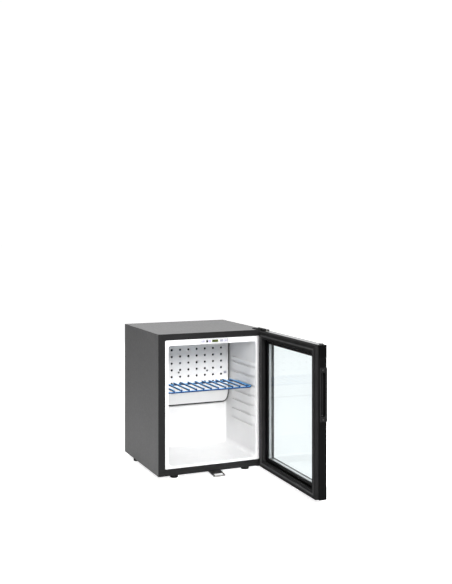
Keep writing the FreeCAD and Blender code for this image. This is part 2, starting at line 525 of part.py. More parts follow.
top_rail = box(-HX, HX, DY0, DY1, IN_Z1, DOOR_Z1)
top_rail = top_rail.makeFillet(SQ, edges_along(top_rail, (1, 0, 0), lambda m: m.z > DOOR_Z1 - 1))
bottom_rail = box(-HX, HX, DY0, DY1, DOOR_Z0, IN_Z0)
bottom_rail = bottom_rail.makeFillet(SQ, edges_along(bottom_rail, (1, 0, 0), lambda m: m.z < DOOR_Z0 + 1))
hinge_stile = box(IN_R, HX, DY0, DY1, IN_Z0, IN_Z1)
hinge_stile = hinge_stile.makeFillet(SQ, edges_along(hinge_stile, (0, 0, 1), lambda m: m.x > HX - 1))
handle_stile = box(-HX, IN_L, DY0, DY1, IN_Z0, IN_Z1)
handle_stile = handle_stile.makeFillet(SQ, edges_along(handle_stile, (0, 0, 1), lambda m: m.x < -HX + 1))

# bores for the hinge bushes and, on the other side, for the plugs
BUSH_L = 14.0
bores = [cyl(BUSH_R, (PIVOT_X, PIVOT_Y, DOOR_Z1), (0, 0, -1), BUSH_L),
         cyl(4.0, (-PIVOT_X, PIVOT_Y, DOOR_Z1), (0, 0, -1), BUSH_L)]
top_rail = cut(top_rail, groove, rim_groove, *bores)
bores = [cyl(BUSH_R, (PIVOT_X, PIVOT_Y, DOOR_Z0), (0, 0, 1), BUSH_L),
         cyl(4.0, (-PIVOT_X, PIVOT_Y, DOOR_Z0), (0, 0, 1), BUSH_L)]
cam_pocket = box(LOCK_X - 9.0, LOCK_X + CAM_LEN + 3.0, -29.0, -21.5, DOOR_Z0 - 1, LOCK_Z + 9.0)
bottom_rail = cut(bottom_rail, groove, rim_groove, cam_pocket, cyl(9.0, (LOCK_X, DY0 - 1, LOCK_Z), (0, 1, 0), 12.0 + 1), *bores)
handle_pocket = fuse(box(-HX - 1, -HX + 17.0, -38.0, -17.0, HANDLE_Z0, HANDLE_Z1),
                     box(-HX - 1, -HX + 6.0, DY0 - 1, -36.0, HANDLE_Z0, HANDLE_Z1))
handle_stile = cut(handle_stile, groove, rim_groove, handle_pocket)
N["door_top_rail"] = top_rail
N["door_bottom_rail"] = bottom_rail
N["door_hinge_stile"] = cut(hinge_stile, groove, rim_groove)
N["door_handle_stile"] = handle_stile

gx0, gx1 = IN_L - REBATE + 0.2, IN_R + REBATE - 0.2
gz0, gz1 = IN_Z0 - REBATE + 0.2, IN_Z1 + REBATE - 0.2
oy0 = DY0 + 2.2
iy1 = DY1 - 2.2
N["outer_glass"] = box(gx0, gx1, oy0, oy0 + GLASS_T, gz0, gz1)
N["inner_glass"] = box(gx0, gx1, iy1 - GLASS_T, iy1, gz0, gz1)
sp = box(gx0 + 0.5, gx1 - 0.5, oy0 + GLASS_T, iy1 - GLASS_T, gz0 + 0.5, gz1 - 0.5)
sp = sp.cut(box(IN_L + 1.0, IN_R - 1.0, oy0, iy1, IN_Z0 + 1.0, IN_Z1 - 1.0))
N["glazing_spacer"] = sp

# magnetic gasket with a folded profile
ox = HX - GASKET_IN
oz0, oz1 = DOOR_Z0 + GASKET_IN, DOOR_Z1 - GASKET_IN
face_y = -GASKET_GAP
front = box(-ox, ox, -5.6, face_y, oz0, oz1)
front = front.makeFillet(4.0, edges_along(front, (0, 1, 0)))
fe = [e for e in front.Edges if abs(e.BoundBox.YMin - face_y) < 1e-6 and abs(e.BoundBox.YMax - face_y) < 1e-6]
front = front.makeFillet(4.4, fe)
front = front.cut(box(-ox + GASKET_W, ox - GASKET_W, -7, 1, oz0 + GASKET_W, oz1 - GASKET_W))


def gasket_ring(y0, y1, inset):
    return ring(ox - inset, oz0 + inset, oz1 - inset, GASKET_W - 2 * inset, y0, y1, 4.0)


def bellows_ring(y0, y1, inset0, inset1, r):
    """Ring between two insets from the gasket's edge, its inner front edge rounded."""
    o = box(-ox + inset0, ox - inset0, y0, y1, oz0 + inset0, oz1 - inset0)
    i = rbox(-ox + inset1, ox - inset1, y0 - 1, y1 + 1, oz0 + inset1, oz1 - inset1, 5.0, (0, 1, 0))
    b = o.cut(i)
    rim = [e for e in b.Edges if abs(e.BoundBox.YMin - y1) < 1e-6 and abs(e.BoundBox.YMax - y1) < 1e-6
           and e.BoundBox.XMin > -ox + inset1 - 0.1 and e.BoundBox.XMax < ox - inset1 + 0.1
           and e.BoundBox.ZMin > oz0 + inset1 - 0.1 and e.BoundBox.ZMax < oz1 - inset1 + 0.1]
    return b.makeFillet(r, rim)


fold = bellows_ring(-9.0, -2.4, GASKET_W - 1.0, GASKET_W + BELLOWS_W, 3.0)
fold_foot = bellows_ring(DY1, -9.0, GASKET_W + 1.0, GASKET_W + BELLOWS_W - 2.6, 0.8)
gasket = fuse(front, gasket_ring(-8.2, -5.6, 3.2), gasket_ring(-11.6, -8.2, 0.0), gasket_ring(DY1, -11.6, 4.0), fold, fold_foot)
MAG_W, MAG_Y0, MAG_Y1 = 6.0, -4.9, -2.1
mag_in = (GASKET_W - MAG_W) / 2.0
mag_channel = ring(ox - mag_in, oz0 + mag_in, oz1 - mag_in, MAG_W, MAG_Y0, MAG_Y1)
N["door_gasket"] = gasket.cut(mag_channel)
mx, mz0, mz1 = ox - mag_in, oz0 + mag_in, oz1 - mag_in
N["gasket_magnets"] = Part.makeCompound([
    box(-mx, mx, MAG_Y0, MAG_Y1, mz1 - MAG_W, mz1), box(-mx, mx, MAG_Y0, MAG_Y1, mz0, mz0 + MAG_W),
    box(-mx, -mx + MAG_W, MAG_Y0, MAG_Y1, mz0 + MAG_W + 0.2, mz1 - MAG_W - 0.2),
    box(mx - MAG_W, mx, MAG_Y0, MAG_Y1, mz0 + MAG_W + 0.2, mz1 - MAG_W - 0.2)])

# recessed grip in the free edge, with a pull lip on the front
grip = box(-HX, -HX + 16.9, -37.9, -17.1, HANDLE_Z0 + 0.1, HANDLE_Z1 - 0.1)
lip = box(-HX, -HX + 5.9, DY0 - 2.6, -36.0, HANDLE_Z0 + 0.1, HANDLE_Z1 - 0.1)
lip = lip.makeFillet(1.8, edges_along(lip, (0, 0, 1), lambda m: m.y < DY0 - 2))
grip = fuse(grip, lip)
scoop = rbox(-HX - 6, -HX + 14.5, -36.4, -18.8, GRIP_Z0, GRIP_Z1, 7.0, (1, 0, 0))
scoop = scoop.makeFillet(4.0, [e for e in scoop.Edges if abs(e.BoundBox.XMin + HX - 14.5) < 1e-6 and abs(e.BoundBox.XMax + HX - 14.5) < 1e-6])
grip = grip.cut(scoop)
N["handle_insert"] = grip
scr = []
for z in (HANDLE_Z0 + 6.6, HANDLE_Z1 - 6.6):
    p, d = (-HX, -27.6, z), (-1, 0, 0)
    scr.append(screw(p, d, 2.7, 1.2, 1.3, 22.0))
    clear_shank(("handle_insert", "door_handle_stile"), p, d, 1.3, 22.0)
N["handle_screws"] = Part.makeCompound(scr)

bushes = []
for z, d in ((DOOR_Z1, -1), (DOOR_Z0, 1)):
    b = cyl(BUSH_R, (PIVOT_X, PIVOT_Y, z), (0, 0, d), BUSH_L - 0.3)
    flange_up = cyl(7.6, (PIVOT_X, PIVOT_Y, z), (0, 0, -d), 0.6)
    b = fuse(b, flange_up).cut(cyl(BUSH_BORE_R, (PIVOT_X, PIVOT_Y, z - 20), (0, 0, 1), 40))
    bushes.append(b)
N["hinge_bushes"] = Part.makeCompound(bushes)
plugs = []
for z, d, t in ((DOOR_Z1, -1, 3.6), (DOOR_Z0, 1, 1.8)):
    c = cyl(7.0, (-PIVOT_X, PIVOT_Y, z), (0, 0, -d), t)
    rim = [e for e in c.Edges if isinstance(e.Curve, Part.Circle) and abs(e.CenterOfMass.z - z) > t * 0.5]
    c = c.makeFillet(1.2, rim)
    plugs.append(fuse(c, cyl(4.0, (-PIVOT_X, PIVOT_Y, z), (0, 0, d), 11.0)))
N["hole_plugs"] = Part.makeCompound(plugs)

# cam lock in the bottom rail
barrel = fuse(cyl(9.0, (LOCK_X, DY0 - 0.0, LOCK_Z), (0, 1, 0), 10.8), cyl(11.0, (LOCK_X, DY0 - 1.6, LOCK_Z), (0, 1, 0), 1.6))
barrel = barrel.cut(cyl(BARREL_BORE_R, (LOCK_X, DY0 - 4, LOCK_Z), (0, 1, 0), 24))
N["lock_barrel"] = barrel
plug = fuse(cyl(PLUG_R, (LOCK_X, DY0 - 1.9, LOCK_Z), (0, 1, 0), 13.0), cyl(4.0, (LOCK_X, DY0 + 10.0, LOCK_Z), (0, 1, 0), 7.6))
plug = plug.cut(box(LOCK_X - 4.0, LOCK_X + 4.0, DY0 - 3, DY0 + 5, LOCK_Z - 0.7, LOCK_Z + 0.7))
N["lock_plug"] = plug
cam = fuse(cyl(7.5, (LOCK_X, -26.6, LOCK_Z), (0, 1, 0), 3.0),
           rbox(LOCK_X - 2.0, LOCK_X + CAM_LEN, -26.6, -23.6, LOCK_Z - 5.0, LOCK_Z + 5.0, 1.5, (0, 1, 0)))
cam = cam.cut(cyl(4.0, (LOCK_X, -40, LOCK_Z), (0, 1, 0), 30))
N["lock_cam"] = cam

for name in N:
    if name not in CABINET:
        N[name].rotate(V(PIVOT_X, PIVOT_Y, 0), V(0, 0, 1), DOOR_OPEN)

# -------------------------------------------------------------------- export
os.makedirs("parts", exist_ok=True)
whole = FreeCAD.BoundBox()
for name, shape in N.items():
    shape.translate(V(SHIFT_X, SHIFT_Y, 0))
    whole.add(shape.BoundBox)
    print(name, shape.isValid(), len(shape.Solids), "%.1f" % (shape.Volume / 1000.0))
    shape.exportStep("parts/" + name + ".step")
print(len(N), "nodes", whole)
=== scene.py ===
import bpy
import bmesh
import math
from mathutils import Matrix, Vector


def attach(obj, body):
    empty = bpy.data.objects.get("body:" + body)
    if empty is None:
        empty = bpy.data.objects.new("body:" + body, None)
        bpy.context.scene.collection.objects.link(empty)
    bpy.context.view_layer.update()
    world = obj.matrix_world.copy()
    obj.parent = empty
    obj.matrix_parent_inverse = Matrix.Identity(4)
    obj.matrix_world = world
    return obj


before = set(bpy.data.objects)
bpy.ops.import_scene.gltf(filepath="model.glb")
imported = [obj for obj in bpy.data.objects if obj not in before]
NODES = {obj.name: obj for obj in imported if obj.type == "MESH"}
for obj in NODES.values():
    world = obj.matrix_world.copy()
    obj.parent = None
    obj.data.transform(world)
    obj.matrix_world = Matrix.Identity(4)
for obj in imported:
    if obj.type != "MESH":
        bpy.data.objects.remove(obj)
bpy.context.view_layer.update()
scene = bpy.context.scene

MM = 0.001
SHIFT = Vector((-1.67, 29.036, 0.0))      # cabinet drawing coordinates to the row frame, mm


def at(x, y, z):
    """A point of the cabinet drawing, in millimetres, as metres in the row frame."""
    return (Vector((x, y, z)) + SHIFT) * MM


# ------------------------------------------------------------------ camera
camera = bpy.data.objects.new("camera", bpy.data.cameras.new("camera"))
scene.collection.objects.link(camera)
camera.data.sensor_width = 36.0
camera.data.lens = 51.793
camera.data.shift_x = 0.06164
camera.data.shift_y = -0.10309
camera.location = (-1.17956, -2.59922, 0.83329)
camera.rotation_euler = (math.radians(90.0), 0.0, math.radians(-22.533))
camera.data.clip_end = 200.0
scene.camera = camera


# ------------------------------------------------------------ node helpers
class Tree:
    """A material's node tree with short ways to add nodes."""

    def __init__(self, name):
        self.mat = bpy.data.materials.new(name)
        self.mat.use_nodes = True
        self.t = self.mat.node_tree
        self.t.nodes.clear()
        self.out = self.t.nodes.new("ShaderNodeOutputMaterial")
        self.coord = self.t.nodes.new("ShaderNodeTexCoord").outputs["Object"]

    def node(self, kind, **inputs):
        n = self.t.nodes.new(kind)
        for k, v in inputs.items():
            self.put(n.inputs[k.replace("_", " ")], v)
        return n

    def put(self, socket, value):
        if isinstance(value, bpy.types.NodeSocket):
            self.t.links.new(value, socket)
        else:
            socket.default_value = value

    def noise(self, scale, detail=3.0, rough=0.55, stretch=None):
        v = self.coord
        if stretch:
            m = self.node("ShaderNodeMapping", Vector=v)
            m.inputs["Scale"].default_value = stretch
            v = m.outputs["Vector"]
        n = self.node("ShaderNodeTexNoise", Vector=v, Scale=scale, Detail=detail, Roughness=rough)
        return n.outputs["Fac"]

    def ramp(self, fac, lo, hi, a=0.35, b=0.65):
        """Values from lo to hi as fac goes from a to b."""
        n = self.node("ShaderNodeMapRange", Value=fac)
        n.inputs["From Min"].default_value = a
        n.inputs["From Max"].default_value = b
        n.inputs["To Min"].default_value = lo
        n.inputs["To Max"].default_value = hi
        return n.outputs["Result"]

    def mix(self, fac, a, b):
        n = self.t.nodes.new("ShaderNodeMix")
        n.data_type = "RGBA"
        self.put(n.inputs[0], fac)
        self.put(n.inputs[6], a)
        self.put(n.inputs[7], b)
        return n.outputs[2]

    def math(self, op, a, b=0.5, c=0.5):
        n = self.t.nodes.new("ShaderNodeMath")
        n.operation = op
        self.put(n.inputs[0], a)
        self.put(n.inputs[1], b)
        self.put(n.inputs[2], c)
        return n.outputs[0]

    def bump(self, height, strength, distance, normal=None):
        n = self.node("ShaderNodeBump", Height=height, Strength=strength, Distance=distance)
        if normal is not None:
            self.put(n.inputs["Normal"], normal)
        return n.outputs["Normal"]

    def axis(self, i):
        n = self.node("ShaderNodeSeparateXYZ", Vector=self.coord)
        return n.outputs[i]

    def principled(self, **inputs):
        n = self.node("ShaderNodeBsdfPrincipled", **inputs)
        self.t.links.new(n.outputs["BSDF"], self.out.inputs["Surface"])
        return n


def rgb(r, g, b):
    return (r, g, b, 1.0)


def edge_mask(t, radius, lo=0.02, hi=0.25):
    """0 on flats, 1 on a piece's edges, where a paler edge colour is painted."""
    b = t.node("ShaderNodeBevel", Radius=radius)
    b.samples = 6
    g = t.node("ShaderNodeNewGeometry")
    d = t.node("ShaderNodeVectorMath")
    d.operation = "DOT_PRODUCT"
    t.put(d.inputs[0], b.outputs["Normal"])
    t.put(d.inputs[1], g.outputs["Normal"])
    return t.ramp(t.math("SUBTRACT", 1.0, d.outputs["Value"]), 0.0, 1.0, lo, hi)


def painted(name, base, light, rough, grain=1600.0, bump=0.16, edge=None, metallic=0.0, coat=0.0, spec=0.5):
    """Sprayed or powder-coated sheet: fine orange peel, soft cloudy tone, slightly paler edges."""
    t = Tree(name)
    cloud = t.noise(5.0, 3.0, 0.5)
    peel = t.noise(grain, 2.0, 0.5)
    col = t.mix(t.ramp(cloud, 0.0, 1.0), rgb(*base), rgb(*light))
    col = t.mix(t.ramp(peel, 0.0, 0.25, 0.4, 0.7), col, rgb(*[c * 1.3 for c in light]))
    if edge:
        # paler edges; on the handle insert this is a painted edge highlight
        col = t.mix(t.math("MULTIPLY", edge_mask(t, 0.0012), 0.55), col, rgb(*edge))
    r = t.ramp(t.noise(140.0, 4.0, 0.6), rough - 0.03, rough + 0.04)
    n = t.bump(peel, bump, 0.0004)
    t.principled(Base_Color=col, Roughness=r, Normal=n, Metallic=metallic, Coat_Weight=coat,
                 Specular_IOR_Level=spec)
    return t.mat


def topped(name, base, light, rough, top_highlight):
    """Black frame paint; faces whose normal points up are pale glossy metal, a painted highlight for the rail's top lit
    from above.
    """
    t = Tree(name)
    g = t.node("ShaderNodeNewGeometry")
    up = t.ramp(t.node("ShaderNodeSeparateXYZ", Vector=g.outputs["Normal"]).outputs[2], 0.0, 1.0, 0.90, 0.97)
    fine = t.noise(900.0, 2.0, 0.5)
    col = t.mix(t.ramp(t.noise(8.0, 3.0), 0.0, 1.0), rgb(*base), rgb(*light))
    lit_top_face = t.mix(t.ramp(fine, 0.0, 1.0), rgb(*top_highlight), rgb(*[c * 0.94 for c in top_highlight]))
    # painted highlight: only up-facing faces get the pale metal
    t.principled(Base_Color=t.mix(up, col, lit_top_face), Metallic=up, Roughness=t.ramp(fine, rough - 0.04, rough + 0.04),
                 Normal=t.bump(fine, 0.06, 0.0003), Specular_IOR_Level=0.06)
    return t.mat


def moulded(name, base, light, rough, grain=900.0, bump=0.05, smudge=0.05, spec=0.5, sss=0.0):
    """Moulded plastic: very fine texture, faint handling marks in its gloss."""
    t = Tree(name)
    col = t.mix(t.ramp(t.noise(14.0, 3.0), 0.0, 1.0), rgb(*base), rgb(*light))
    r = t.ramp(t.noise(35.0, 5.0, 0.65), rough - smudge, rough + smudge)
    n = t.bump(t.noise(grain, 2.0), bump, 0.0003)
    p = t.principled(Base_Color=col, Roughness=r, Normal=n, Specular_IOR_Level=spec)
    if sss:
        p.inputs["Subsurface Weight"].default_value = sss
        p.inputs["Subsurface Radius"].default_value = (0.004, 0.004, 0.004)
    return t.mat


def shade_backed(name, base, light, rough, inside, grain, bump, spec):
    """White moulding with painted shade: its faces round the evaporator, the cover's back and the wall behind the
    cover, are painted black for the shadow gap behind the cover.
    """
    t = Tree(name)
    col = t.mix(t.ramp(t.noise(14.0, 3.0), 0.0, 1.0), rgb(*base), rgb(*light))
    if inside == "back":
        g = t.node("ShaderNodeNewGeometry")
        y = t.node("ShaderNodeSeparateXYZ", Vector=g.outputs["Normal"]).outputs[1]
        shade_mask = t.ramp(y, 0.0, 1.0, 0.4, 0.7)
    else:
        lo, hi = at(-154.0, 240.0, 204.0), at(154.0, 240.0, 442.0)
        shade_mask = t.math("GREATER_THAN", t.axis(1), lo.y)
        for i in (0, 2):
            shade_mask = t.math("MULTIPLY", shade_mask, t.math("GREATER_THAN", t.axis(i), lo[i]))
            shade_mask = t.math("MULTIPLY", shade_mask, t.math("LESS_THAN", t.axis(i), hi[i]))
    # painted shade: near-black where the gap behind the evaporator cover lies in shadow
    col = t.mix(shade_mask, col, rgb(0.012, 0.012, 0.012))
    r = t.ramp(t.noise(35.0, 5.0, 0.65), rough - 0.05, rough + 0.05)
    t.principled(Base_Color=col, Roughness=r, Normal=t.bump(t.noise(grain, 2.0), bump, 0.0003), Specular_IOR_Level=spec)
    return t.mat


def printed(name, base, light, rough, fields, line):
    """Fascia plastic with printed fields, each (x0, x1, z0, z1, colour) in drawing millimetres, and a fine border line."""
    t = Tree(name)
    col = t.mix(t.ramp(t.noise(14.0, 3.0), 0.0, 1.0), rgb(*base), rgb(*light))
    x, z = t.axis(0), t.axis(2)

    def box(x0, x1, z0, z1):
        a, b = at(x0, 0.0, z0), at(x1, 0.0, z1)
        m = t.math("MULTIPLY", t.math("GREATER_THAN", x, a.x), t.math("LESS_THAN", x, b.x))
        return t.math("MULTIPLY", m, t.math("MULTIPLY", t.math("GREATER_THAN", z, a.z), t.math("LESS_THAN", z, b.z)))

    for x0, x1, z0, z1, c in fields:
        col = t.mix(box(x0, x1, z0, z1), col, rgb(*c))
    col = t.mix(box(-45.4, 54.6, 452.2, 465.7), rgb(*line), col)
    r = t.ramp(t.noise(35.0, 5.0, 0.65), rough - 0.05, rough + 0.05)
    t.principled(Base_Color=col, Roughness=r, Normal=t.bump(t.noise(900.0, 2.0), 0.03, 0.0003))
    return t.mat


def rubber(name, base, light, rough, spec=0.3, edge=None):
    """Moulded rubber: dull and finely grained, rubbed paler on its ridges."""
    t = Tree(name)
    fine = t.noise(700.0, 3.0)
    col = t.mix(t.ramp(t.noise(25.0, 4.0), 0.0, 1.0), rgb(*base), rgb(*light))
    if edge:
        col = t.mix(t.math("MULTIPLY", edge_mask(t, 0.0016), 0.8), col, rgb(*edge))
    n = t.bump(fine, 0.12, 0.0004)
    t.principled(Base_Color=col, Roughness=t.ramp(fine, rough - 0.06, rough + 0.06), Normal=n, Specular_IOR_Level=spec)
    return t.mat


def folded(name, strip, highlight_colour, rough, spec):
    """Door gasket: dark rubber with painted highlights, a paler band along the ridge between its magnetic strip and its
    bellows, and paler edges.
    """
    t = Tree(name)
    fine = t.noise(700.0, 3.0)
    across = t.node("ShaderNodeVectorMath", Vector=t.coord)
    across.operation = "DOT_PRODUCT"
    across.inputs[1].default_value = (math.cos(DOOR_OPEN), math.sin(DOOR_OPEN), 0.0)
    x = t.math("ABSOLUTE", t.math("SUBTRACT", across.outputs["Value"], DOOR_MID))
    z = t.math("ABSOLUTE", t.math("SUBTRACT", t.axis(2), 0.5 * (GASKET_Z0 + GASKET_Z1)))
    inset = t.math("MINIMUM", t.math("SUBTRACT", GASKET_X, x), t.math("SUBTRACT", 0.5 * (GASKET_Z1 - GASKET_Z0), z))
    inset = t.math("ADD", inset, t.math("MULTIPLY", t.math("SUBTRACT", t.noise(60.0, 3.0), 0.5), 0.0015))
    cloud = t.ramp(t.noise(25.0, 4.0), 0.0, 1.0)
    dark = t.mix(cloud, rgb(*strip), rgb(*[c * 1.3 for c in strip]))
    ridge_highlight = t.mix(cloud, rgb(*highlight_colour), rgb(*[c * 1.25 for c in highlight_colour]))
    # painted highlight: the paler band on the ridge where light catches the gasket
    col = t.mix(t.ramp(t.math("ABSOLUTE", t.math("SUBTRACT", inset, 0.0145)), 1.0, 0.0, 0.0014, 0.0040), dark, ridge_highlight)
    # painted highlight along the gasket's edges
    col = t.mix(t.math("MULTIPLY", edge_mask(t, 0.0014), 0.6), col, rgb(*highlight_colour))
    t.principled(Base_Color=col, Roughness=t.ramp(fine, rough - 0.06, rough + 0.06), Normal=t.bump(fine, 0.12, 0.0004),
                 Specular_IOR_Level=spec)
    return t.mat


def metal(name, base, light, rough, brush=(1.0, 1.0, 1.0), scale=500.0, metallic=1.0):
    """Bare or plated metal with drawing marks along one axis and dull patches."""
    t = Tree(name)
    lines = t.noise(scale, 3.0, 0.6, stretch=brush)
    patch = t.noise(22.0, 4.0, 0.6)
    col = t.mix(t.ramp(patch, 0.0, 1.0), rgb(*base), rgb(*light))
    r = t.ramp(lines, rough - 0.07, rough + 0.1)
    n = t.bump(lines, 0.08, 0.0002)
    t.principled(Base_Color=col, Roughness=r, Normal=n, Metallic=metallic)
    return t.mat


def spangled(name, base, light, rough):
    """Galvanised sheet with its crystal spangle."""
    t = Tree(name)
    v = t.node("ShaderNodeTexVoronoi", Vector=t.coord, Scale=150.0)
    s = t.node("ShaderNodeSeparateColor", Color=v.outputs["Color"])
    tone = t.ramp(s.outputs[0], 0.0, 1.0, 0.0, 1.0)
    col = t.mix(tone, rgb(*base), rgb(*light))
    col = t.mix(t.ramp(t.noise(12.0, 4.0), 0.0, 0.04), col, rgb(*[c * 0.8 for c in base]))
    t.principled(Base_Color=col, Roughness=t.ramp(s.outputs[1], rough - 0.1, rough + 0.1, 0.0, 1.0), Metallic=0.85,
                 Normal=t.bump(t.noise(900.0, 2.0), 0.05, 0.0002))
    return t.mat


def clear(name, tint, ior=1.5, rough=0.0, shade=(0.97, 0.985, 0.985)):
    """Glass that lets lamplight through; a faint film of dust dulls its gloss."""
    t = Tree(name)
    p = t.node("ShaderNodeBsdfPrincipled", Base_Color=rgb(*tint), Roughness=rough, IOR=ior)
    p.inputs["Transmission Weight"].default_value = 1.0
    tr = t.node("ShaderNodeBsdfTransparent", Color=rgb(*shade))
    lp = t.node("ShaderNodeLightPath")
    m = t.t.nodes.new("ShaderNodeMixShader")
    t.put(m.inputs[0], lp.outputs["Is Shadow Ray"])
    t.t.links.new(p.outputs["BSDF"], m.inputs[1])
    t.t.links.new(tr.outputs["BSDF"], m.inputs[2])
    t.t.links.new(m.outputs["Shader"], t.out.inputs["Surface"])
    return t.mat


def edge_sealed(name, base, light):
    """Perforated-strip grey of the glazing spacer, with the dark sealant line along the outer pane."""
    t = Tree(name)
    fine = t.noise(420.0, 3.0, 0.6)
    col = t.mix(t.ramp(fine, 0.0, 1.0), rgb(*base), rgb(*light))
    side = t.node("ShaderNodeVectorMath", Vector=t.coord)
    side.operation = "DOT_PRODUCT"
    side.inputs[1].default_value = (-math.sin(DOOR_OPEN), math.cos(DOOR_OPEN), 0.0)
    line = t.ramp(side.outputs["Value"], 1.0, 0.0, SEAL_LINE - 0.0003, SEAL_LINE + 0.0003)
    col = t.mix(line, col, rgb(0.012, 0.012, 0.013))
    t.principled(Base_Color=col, Roughness=t.ramp(fine, 0.30, 0.42), Normal=t.bump(fine, 0.06, 0.0003), Metallic=t.math("MULTIPLY", t.math("SUBTRACT", 1.0, line), 0.85),
                 Specular_IOR_Level=0.2)
    return t.mat


def coated(name, base, light, underside_shade):
    """Dipped plastic coat on wire, glossy, with painted shade: pale on its up-facing faces and deep in colour
    underneath, chosen by each face's normal.
    """
    t = Tree(name)
    g = t.node("ShaderNodeNewGeometry")
    up = t.node("ShaderNodeSeparateXYZ", Vector=g.outputs["Normal"]).outputs[2]
    up = t.math("ADD", up, t.math("MULTIPLY", t.math("SUBTRACT", t.noise(160.0, 3.0), 0.5), 0.25))
    col = t.mix(t.ramp(t.noise(40.0, 3.0), 0.0, 1.0), rgb(*base), rgb(*light))
    # painted shade: the wire's undersides darker and its tops lighter, by face normal
    col = t.mix(t.ramp(up, 0.0, 1.0, 0.62, 0.92), rgb(*underside_shade), col)
    n = t.bump(t.noise(260.0, 3.0), 0.10, 0.0005)
    t.principled(Base_Color=col, Roughness=t.ramp(t.noise(90.0, 3.0), 0.30, 0.42), Normal=n, Specular_IOR_Level=0.22)
    return t.mat


def glowing(name, base, light, strength, rough=0.4):
    """A lit plastic part: a tinted body with its own light."""
    t = Tree(name)
    f = t.ramp(t.noise(300.0, 2.0), 0.0, 1.0)
    col = t.mix(f, rgb(*base), rgb(*light))
    p = t.principled(Base_Color=col, Roughness=rough, Emission_Color=col)
    p.inputs["Emission Strength"].default_value = strength
    return t.mat


# --------------------------------------------------------------- materials
DOOR_OPEN = math.radians(88.0)             # the door's angle in the drawing
PIVOT = at(191.0, -27.0, 0.0)
SEAL_LINE = (-math.sin(DOOR_OPEN) * PIVOT.x + math.cos(DOOR_OPEN) * PIVOT.y) - 0.0010   # 1 mm outside the hinge axis
DOOR_MID = math.cos(DOOR_OPEN) * PIVOT.x + math.sin(DOOR_OPEN) * PIVOT.y - 0.191          # the door's middle, across it
GASKET_X = 0.2010 - 0.001
GASKET_Z0, GASKET_Z1 = 0.0162, 0.4874
M = {}
M["cabinet"] = painted("cabinet_paint", (0.080, 0.080, 0.081), (0.089, 0.089, 0.090), 0.48, edge=(0.17, 0.17, 0.17), spec=0.42)
M["front"] = painted("front_frame_paint", (0.0060, 0.0060, 0.0062), (0.0076, 0.0076, 0.0078), 0.46, edge=(0.03, 0.03, 0.03), spec=0.15)
M["door"] = painted("door_frame_black", (0.0010, 0.0010, 0.0011), (0.0016, 0.0016, 0.0017), 0.40, grain=1100.0, bump=0.10,
                    edge=(0.010, 0.010, 0.010), spec=0.06)
M["door_top"] = topped("door_top_edge", (0.0010, 0.0010, 0.0011), (0.0016, 0.0016, 0.0017), 0.30, (0.24, 0.245, 0.25))
M["gasket"] = folded("gasket_rubber", (0.0090, 0.0090, 0.0092), (0.046, 0.046, 0.0465), 0.58, 0.03)
# painted shade: the cover seal's near-black colour stands for the shadow gap round the evaporator cover
M["seal"] = rubber("cover_seal_shade", (0.016, 0.016, 0.016), (0.024, 0.024, 0.024), 0.75, spec=0.15)
M["liner"] = shade_backed("liner_white", (0.605, 0.606, 0.607), (0.63, 0.63, 0.631), 0.36, "wall", 500.0, 0.03, 0.4)
M["cover"] = shade_backed("cover_white", (0.610, 0.611, 0.612), (0.635, 0.635, 0.636), 0.40, "back", 600.0, 0.04, 0.4)
M["shelf"] = coated("shelf_blue", (0.13, 0.43, 0.82), (0.16, 0.47, 0.87), (0.0035, 0.026, 0.098))
M["foot"] = rubber("foot_black", (0.006, 0.006, 0.006), (0.010, 0.010, 0.010), 0.60, spec=0.12)
M["hinge"] = painted("hinge_black", (0.002, 0.002, 0.002), (0.003, 0.003, 0.003), 0.55, edge=(0.012, 0.012, 0.012), spec=0.03)
M["strike"] = metal("strike_steel", (0.16, 0.155, 0.15), (0.22, 0.215, 0.21), 0.36, brush=(1.0, 0.04, 1.0), scale=900.0)
M["screw"] = metal("screw_steel", (0.48, 0.48, 0.47), (0.58, 0.57, 0.56), 0.30, scale=1500.0)
M["cover_screw"] = metal("cover_screw_steel", (0.10, 0.10, 0.10), (0.15, 0.15, 0.15), 0.38, scale=1500.0)
M["pin"] = metal("pin_steel", (0.42, 0.42, 0.42), (0.52, 0.52, 0.52), 0.26, brush=(1.0, 1.0, 0.05), scale=1200.0)
M["dark_screw"] = metal("dark_screw", (0.07, 0.07, 0.07), (0.10, 0.10, 0.10), 0.34, scale=1500.0)
M["spacer"] = edge_sealed("spacer_aluminium", (0.37, 0.372, 0.375), (0.43, 0.432, 0.435))
M["magnet"] = rubber("magnet_strip", (0.03, 0.025, 0.022), (0.045, 0.04, 0.035), 0.6)
# painted highlight: the handle insert's pale edge colour stands for light catching the rim of its grip recess
M["handle"] = painted("handle_black", (0.0035, 0.0035, 0.0036), (0.005, 0.005, 0.0051), 0.32, grain=1300.0, bump=0.08, edge=(0.075, 0.075, 0.075), spec=0.14)
M["dark"] = moulded("dark_plastic", (0.014, 0.014, 0.0145), (0.019, 0.019, 0.0195), 0.42, grain=1000.0, bump=0.1)
M["bush"] = moulded("bush_nylon", (0.70, 0.68, 0.62), (0.76, 0.74, 0.68), 0.4)
M["fascia"] = printed("fascia_white", (0.52, 0.525, 0.54), (0.56, 0.56, 0.575), 0.36,
                      [(-26.4, -18.6, 454.8, 463.2, (0.006, 0.006, 0.007)), (-17.0, -8.0, 454.6, 463.4, (0.30, 0.28, 0.40))],
                      (0.05, 0.05, 0.055))
M["key"] = moulded("key_grey", (0.24, 0.245, 0.29), (0.28, 0.28, 0.325), 0.40, grain=900.0, bump=0.03)
M["pale_key"] = moulded("key_pale", (0.36, 0.355, 0.42), (0.40, 0.395, 0.46), 0.40, grain=900.0, bump=0.03)
M["print"] = moulded("key_print", (0.05, 0.05, 0.07), (0.07, 0.07, 0.09), 0.5)
M["eye"] = moulded("eye_dark", (0.006, 0.0055, 0.007), (0.010, 0.009, 0.011), 0.40, spec=0.1)
